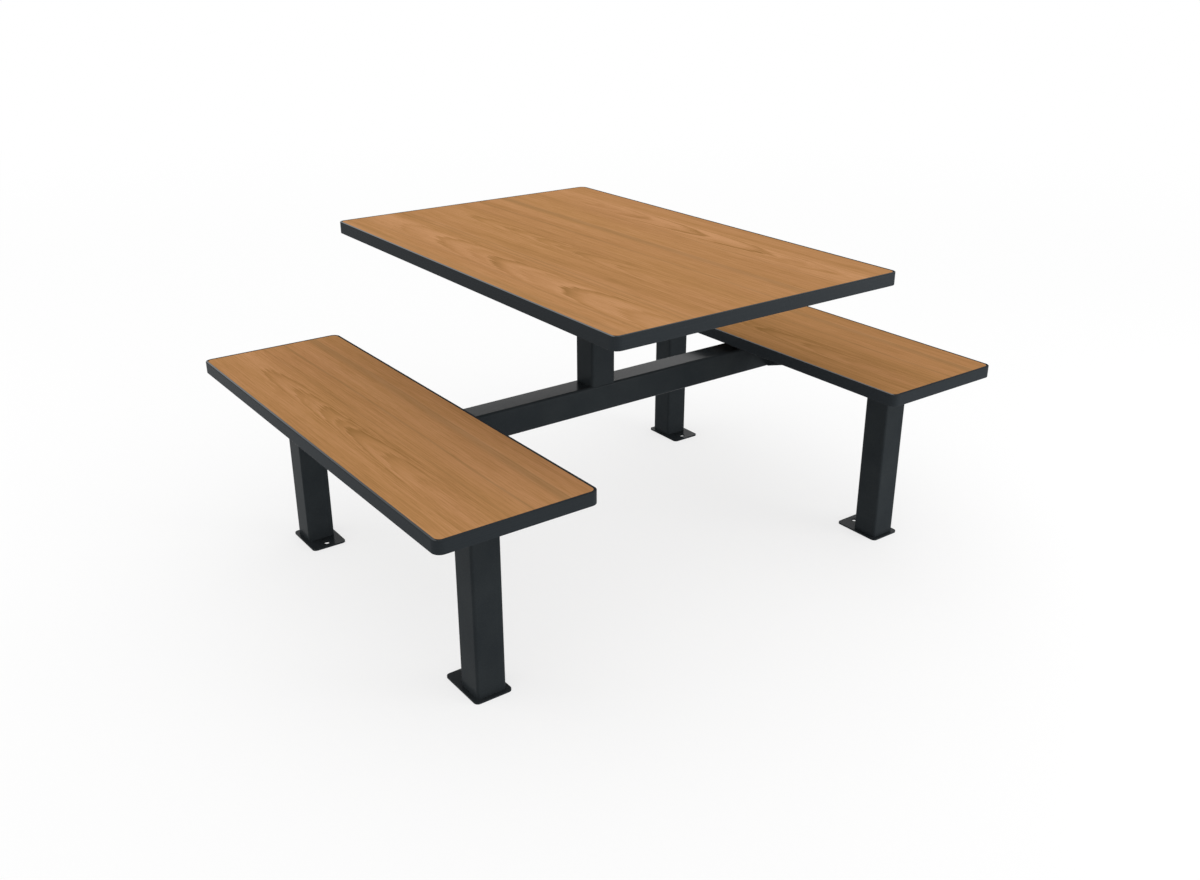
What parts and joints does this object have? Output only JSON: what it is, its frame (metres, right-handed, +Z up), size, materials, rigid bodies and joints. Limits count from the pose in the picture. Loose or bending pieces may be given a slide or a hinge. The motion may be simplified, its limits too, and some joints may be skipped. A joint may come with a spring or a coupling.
{
  "type": "table with integrated benches",
  "caption": "Table with a fixed bench on each long side: wood-look boards with black edging on a square-tube frame with a central post, a cross beam and bolt-down feet.",
  "frame": {"origin": "on the floor, under the middle of the table", "axes": "+X from the left bench to the right bench, +Y along the boards to the far end, +Z up"},
  "size_m": [1.5, 1.145, 0.745],
  "materials": {
    "wood_laminate": "matt wood-look laminate",
    "board_core": "raw board",
    "backing_laminate": "matt brown backing laminate",
    "edging": "satin edging",
    "frame_paint": "satin powder coat",
    "tube_caps": "moulded",
    "fixings": "zinc plated"
  },
  "bodies": {
    "root": {"beam_bolts": "fixings", "beam_nuts": "fixings", "beam_washers": "fixings", "cross_beam": "frame_paint", "left_base_plate_far": "frame_paint", "left_base_plate_near": "frame_paint", "left_beam_end_plate": "frame_paint", "left_bench_backer": "backing_laminate", "left_bench_core": "board_core", "left_bench_edging": "edging", "left_bench_laminate": "wood_laminate", "left_bench_rail": "frame_paint", "left_bench_screws": "fixings", "left_leg_far": "frame_paint", "left_leg_near": "frame_paint", "left_seat_plate_far": "frame_paint", "left_seat_plate_middle": "frame_paint", "left_seat_plate_near": "frame_paint", "post_head_plate": "frame_paint", "right_base_plate_far": "frame_paint", "right_base_plate_near": "frame_paint", "right_beam_end_plate": "frame_paint", "right_bench_backer": "backing_laminate", "right_bench_core": "board_core", "right_bench_edging": "edging", "right_bench_laminate": "wood_laminate", "right_bench_rail": "frame_paint", "right_bench_screws": "fixings", "right_leg_far": "frame_paint", "right_leg_near": "frame_paint", "right_seat_plate_far": "frame_paint", "right_seat_plate_middle": "frame_paint", "right_seat_plate_near": "frame_paint", "table_backer": "backing_laminate", "table_bearer_caps": "tube_caps", "table_bearer_far": "frame_paint", "table_bearer_near": "frame_paint", "table_core": "board_core", "table_edging": "edging", "table_laminate": "wood_laminate", "table_post": "frame_paint", "table_rail": "frame_paint", "table_rail_caps": "tube_caps", "table_screws": "fixings"}
  },
  "joints": []
}
